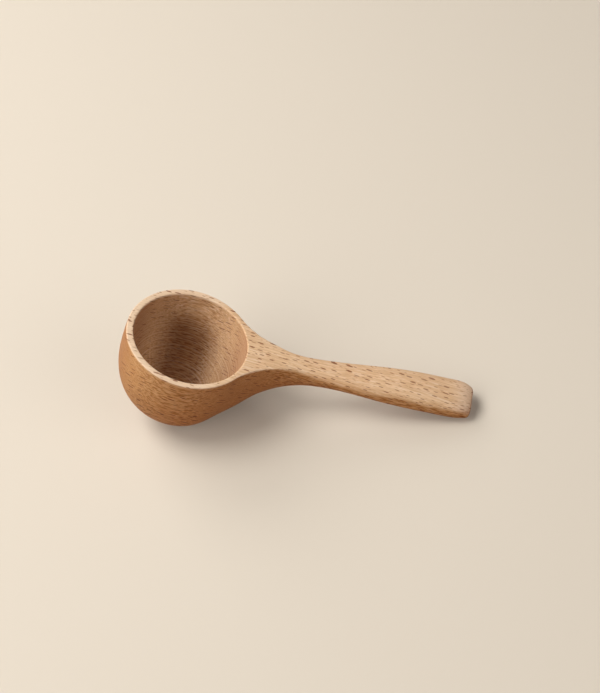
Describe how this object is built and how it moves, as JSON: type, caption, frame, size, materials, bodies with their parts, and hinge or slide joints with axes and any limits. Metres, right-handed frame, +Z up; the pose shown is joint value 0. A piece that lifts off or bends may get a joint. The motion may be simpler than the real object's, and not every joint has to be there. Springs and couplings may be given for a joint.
{
  "type": "coffee scoop",
  "caption": "One-piece wooden coffee scoop with a deep round bowl, a flat-topped neck that narrows behind it and a flared, rounded handle, for measuring out ground coffee.",
  "frame": {"origin": "on the table under the middle of the scoop's box, as it rests on the bowl's underside and the handle's end", "axes": "+X along the handle, from the bowl to the handle's end; +Z up from the table; the scoop is the same on both sides of Y = 0"},
  "size_m": [0.1372, 0.0502, 0.0457],
  "materials": {
    "beech": "oiled, satin"
  },
  "bodies": {
    "root": {"scoop": "beech"}
  },
  "joints": []
}
